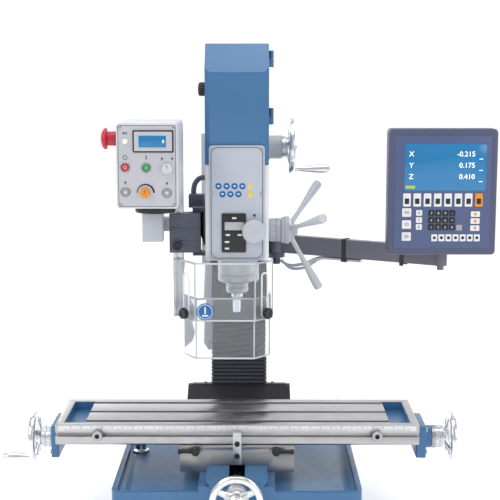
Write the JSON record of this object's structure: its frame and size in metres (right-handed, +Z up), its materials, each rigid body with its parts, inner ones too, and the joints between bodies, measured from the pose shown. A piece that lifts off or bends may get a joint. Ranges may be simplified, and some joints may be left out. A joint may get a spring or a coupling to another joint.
{
  "type": "benchtop milling machine",
  "caption": "Bench milling machine: dovetail column, cross table with T-slots, tilting head with quill, spindle guard, operating panel and position readout.",
  "frame": {"origin": "underside of the base, on the machine's centre plane, below the spindle axis", "axes": "+X to the operator's right along the table, +Y away from the operator, +Z up along the spindle axis"},
  "size_m": [0.976, 0.6447, 0.938],
  "materials": {
    "blue_paint": "semi-gloss blue paint on cast iron and sheet",
    "white_paint": "semi-gloss off-white paint on cast iron",
    "grey_paint": "satin light grey paint",
    "dark_paint": "fine textured dark grey paint",
    "ground_iron": "ground and scraped cast iron",
    "steel": "turned and ground steel",
    "chrome": "bright chrome",
    "aluminium": "satin anodised aluminium",
    "black_plastic": "matt black moulding",
    "light_plastic": "light grey housing",
    "blue_grey_plastic": "blue-grey moulded housing",
    "red_plastic": "glossy red",
    "green_plastic": "glossy green",
    "orange_plastic": "glossy orange",
    "grey_plastic": "satin grey",
    "rubber": "ribbed black rubber",
    "clear_plastic": "clear polycarbonate"
  },
  "bodies": {
    "root": {"base_casting": "blue_paint", "column": "blue_paint", "z_crank_housing": "grey_paint", "z_scale_cover": "grey_paint", "column_bellows": "rubber", "rear_way_cover": "rubber", "dro_pivot_bracket": "dark_paint"},
    "saddle": {"saddle": "grey_paint", "stop_block": "aluminium"},
    "x_lock_left": {"x_lock_left": "black_plastic"},
    "x_lock_right": {"x_lock_right": "black_plastic"},
    "table": {"table": "ground_iron", "left_end_bracket": "blue_paint", "right_end_bracket": "blue_paint"},
    "stop_left": {"stop_left": "steel"},
    "stop_right": {"stop_right": "steel"},
    "x_crank": {"x_screw": "steel", "left_handwheel": "chrome", "right_handwheel": "chrome"},
    "x_grip": {"x_grip": "chrome"},
    "y_crank": {"y_screw": "steel", "y_handwheel": "chrome"},
    "y_grip": {"y_grip": "chrome"},
    "z_crank": {"z_handwheel": "chrome", "z_crank_shaft": "steel"},
    "z_grip": {"z_grip": "chrome"},
    "z_screw": {"z_screw": "steel"},
    "carriage": {"head_carriage": "white_paint"},
    "head": {"head_casting": "white_paint", "front_plate": "aluminium", "motor_cover": "blue_paint", "motor": "dark_paint", "drive_belt": "rubber", "guard_switch": "dark_paint"},
    "belt_door": {"belt_cover": "blue_paint"},
    "latch": {"latch_knob": "black_plastic"},
    "spindle_drive": {"spindle_pulley": "aluminium"},
    "motor_rotor": {"motor_pulley": "aluminium"},
    "quill": {"quill": "steel"},
    "spindle": {"spindle": "steel", "cutter": "steel"},
    "capstan": {"capstan": "grey_paint"},
    "fine_feed": {"fine_feed_knob": "grey_paint"},
    "guard_bracket": {"guard_bracket": "dark_paint"},
    "guard": {"guard_post": "aluminium", "guard_upper": "clear_plastic"},
    "lower_shield": {"guard_lower": "clear_plastic"},
    "control_arm": {"control_arm": "grey_paint"},
    "control_box": {"control_box": "light_plastic"},
    "estop": {"estop_button": "red_plastic"},
    "stop": {"stop_button": "red_plastic"},
    "start": {"start_button": "green_plastic"},
    "jog_up": {"jog_up_button": "grey_plastic"},
    "jog_down": {"jog_down_button": "grey_plastic"},
    "selector": {"selector_knob": "light_plastic"},
    "speed": {"speed_knob": "orange_plastic"},
    "dro_arm": {"dro_arm": "dark_paint", "dro_cables": "aluminium"},
    "dro_yoke": {"dro_yoke": "dark_paint"},
    "dro_display": {"dro_display": "blue_grey_plastic"}
  },
  "joints": [
    {"name": "y_crank", "type": "hinge", "parent": "root", "child": "y_crank", "pos_m": [0, -0.19, 0.113], "axis": [0, 1, 0], "range_deg": [-9010, 7660]},
    {"name": "saddle_y", "type": "slide", "parent": "root", "child": "saddle", "axis": [0, 1, 0], "range_m": [-0.1, 0.085], "deforming": ["rear_way_cover"]},
    {"name": "y_grip", "type": "hinge", "parent": "y_crank", "child": "y_grip", "pos_m": [0, -0.25, 0.0695], "axis": [0, 1, 0], "continuous": true},
    {"name": "x_lock_left", "type": "hinge", "parent": "saddle", "child": "x_lock_left", "pos_m": [-0.08, -0.09, 0.165], "axis": [0, 1, 0], "range_deg": [-40, 40]},
    {"name": "x_lock_right", "type": "hinge", "parent": "saddle", "child": "x_lock_right", "pos_m": [0.075, -0.09, 0.165], "axis": [0, 1, 0], "range_deg": [-40, 40]},
    {"name": "x_crank", "type": "hinge", "parent": "table", "child": "x_crank", "pos_m": [0, 0, 0.165], "axis": [1, 0, 0], "range_deg": [-21390, 21390]},
    {"name": "table_x", "type": "slide", "parent": "saddle", "child": "table", "axis": [1, 0, 0], "range_m": [-0.2375, 0.2375]},
    {"name": "x_grip", "type": "hinge", "parent": "x_crank", "child": "x_grip", "pos_m": [-0.44, 0, 0.1215], "axis": [1, 0, 0], "continuous": true},
    {"name": "stop_left", "type": "slide", "parent": "table", "child": "stop_left", "axis": [1, 0, 0], "range_m": [-0.06, 0.235]},
    {"name": "stop_right", "type": "slide", "parent": "table", "child": "stop_right", "axis": [1, 0, 0], "range_m": [-0.235, 0.06]},
    {"name": "z_crank", "type": "hinge", "parent": "root", "child": "z_crank", "pos_m": [0.1, 0.258, 0.725], "axis": [1, 0, 0], "range_deg": [-15135, 20175]},
    {"name": "z_screw", "type": "hinge", "parent": "root", "child": "z_screw", "pos_m": [0, 0.258, 0.5], "axis": [0, 0, 1], "range_deg": [-7570, 10090]},
    {"name": "head_z", "type": "slide", "parent": "root", "child": "carriage", "axis": [0, 0, 1], "range_m": [-0.105, 0.14], "deforming": ["column_bellows"]},
    {"name": "z_grip", "type": "hinge", "parent": "z_crank", "child": "z_grip", "pos_m": [0.15, 0.258, 0.678], "axis": [1, 0, 0], "continuous": true},
    {"name": "head_tilt", "type": "hinge", "parent": "carriage", "child": "head", "pos_m": [0, 0.125, 0.62], "axis": [0, 1, 0], "range_deg": [-30, 30]},
    {"name": "belt_door", "type": "hinge", "parent": "head", "child": "belt_door", "pos_m": [0.065, -0.012, 0.845], "axis": [0, 0, 1], "range_deg": [0, 110]},
    {"name": "latch_turn", "type": "hinge", "parent": "belt_door", "child": "latch", "pos_m": [-0.06, -0.025, 0.853], "axis": [1, 0, 0], "range_deg": [0, 90]},
    {"name": "spindle_drive", "type": "hinge", "parent": "head", "child": "spindle_drive", "pos_m": [0, 0, 0.85], "axis": [0, 0, 1], "continuous": true},
    {"name": "motor_spin", "type": "hinge", "parent": "head", "child": "motor_rotor", "pos_m": [0, 0.072, 0.85], "axis": [0, 0, 1], "continuous": true},
    {"name": "quill_z", "type": "slide", "parent": "head", "child": "quill", "axis": [0, 0, -1], "range_m": [0, 0.07]},
    {"name": "spindle_spin", "type": "hinge", "parent": "quill", "child": "spindle", "pos_m": [0, 0, 0.5], "axis": [0, 0, 1], "continuous": true},
    {"name": "capstan_turn", "type": "hinge", "parent": "head", "child": "capstan", "pos_m": [0.08, 0.046, 0.575], "axis": [1, 0, 0], "range_deg": [0, 364], "stiffness_Nm_per_rad": 0.1, "springref_deg": -687.55},
    {"name": "fine_feed_turn", "type": "hinge", "parent": "head", "child": "fine_feed", "pos_m": [0.032, -0.09, 0.59], "axis": [0, 1, 0], "continuous": true},
    {"name": "guard_swing", "type": "hinge", "parent": "head", "child": "guard_bracket", "pos_m": [-0.077, -0.02, 0.58], "axis": [0, 0, -1], "range_deg": [0, 90]},
    {"name": "guard_height", "type": "slide", "parent": "guard_bracket", "child": "guard", "axis": [0, 0, -1], "range_m": [0, 0.04]},
    {"name": "shield_height", "type": "slide", "parent": "guard", "child": "lower_shield", "axis": [0, 0, 1], "range_m": [0, 0.06]},
    {"name": "control_arm_swing", "type": "hinge", "parent": "head", "child": "control_arm", "pos_m": [-0.075, 0.056, 0.586], "axis": [0, 0, -1], "range_deg": [0, 40]},
    {"name": "control_box_swivel", "type": "hinge", "parent": "control_arm", "child": "control_box", "pos_m": [-0.152, -0.088, 0.63], "axis": [0, 0, -1], "range_deg": [0, 60]},
    {"name": "estop_push", "type": "slide", "parent": "control_box", "child": "estop", "axis": [1, 0, 0], "range_m": [0, 0.003], "stiffness_N_per_m": 600, "springref_m": -0.004},
    {"name": "stop_push", "type": "slide", "parent": "control_box", "child": "stop", "axis": [0, 1, 0], "range_m": [0, 0.003], "stiffness_N_per_m": 400, "springref_m": -0.003},
    {"name": "start_push", "type": "slide", "parent": "control_box", "child": "start", "axis": [0, 1, 0], "range_m": [0, 0.003], "stiffness_N_per_m": 400, "springref_m": -0.003},
    {"name": "jog_up_push", "type": "slide", "parent": "control_box", "child": "jog_up", "axis": [0, 1, 0], "range_m": [0, 0.003], "stiffness_N_per_m": 400, "springref_m": -0.003},
    {"name": "jog_down_push", "type": "slide", "parent": "control_box", "child": "jog_down", "axis": [0, 1, 0], "range_m": [0, 0.003], "stiffness_N_per_m": 400, "springref_m": -0.003},
    {"name": "selector_turn", "type": "hinge", "parent": "control_box", "child": "selector", "pos_m": [-0.12097, -0.2, 0.71727], "axis": [0, 1, 0], "range_deg": [-45, 45]},
    {"name": "speed_turn", "type": "hinge", "parent": "control_box", "child": "speed", "pos_m": [-0.15999, -0.2, 0.67439], "axis": [0, 1, 0], "range_deg": [0, 270]},
    {"name": "dro_arm_swing", "type": "hinge", "parent": "root", "child": "dro_arm", "pos_m": [0.081, 0.26, 0.517], "axis": [0, 0, -1], "range_deg": [-25, 20]},
    {"name": "dro_swivel", "type": "hinge", "parent": "dro_arm", "child": "dro_yoke", "pos_m": [0.409, 0.079, 0.54], "axis": [0, 0, 1], "range_deg": [-20, 20]},
    {"name": "dro_tilt", "type": "hinge", "parent": "dro_yoke", "child": "dro_display", "pos_m": [0.409, 0.075, 0.62], "axis": [-1, 0, 0], "range_deg": [0, 15]}
  ],
  "couplings": [
    {"joint": "y_crank", "follows": "saddle_y", "rad_per_m": 1570.8},
    {"joint": "x_crank", "follows": "table_x", "rad_per_m": 1570.8},
    {"joint": "z_crank", "follows": "head_z", "rad_per_m": 2513.3},
    {"joint": "z_screw", "follows": "head_z", "rad_per_m": 1256.6},
    {"joint": "motor_spin", "follows": "spindle_drive", "ratio": 1.7273},
    {"joint": "spindle_spin", "follows": "spindle_drive", "ratio": 1},
    {"joint": "quill_z", "follows": "capstan_turn", "m_per_rad": 0.011}
  ]
}
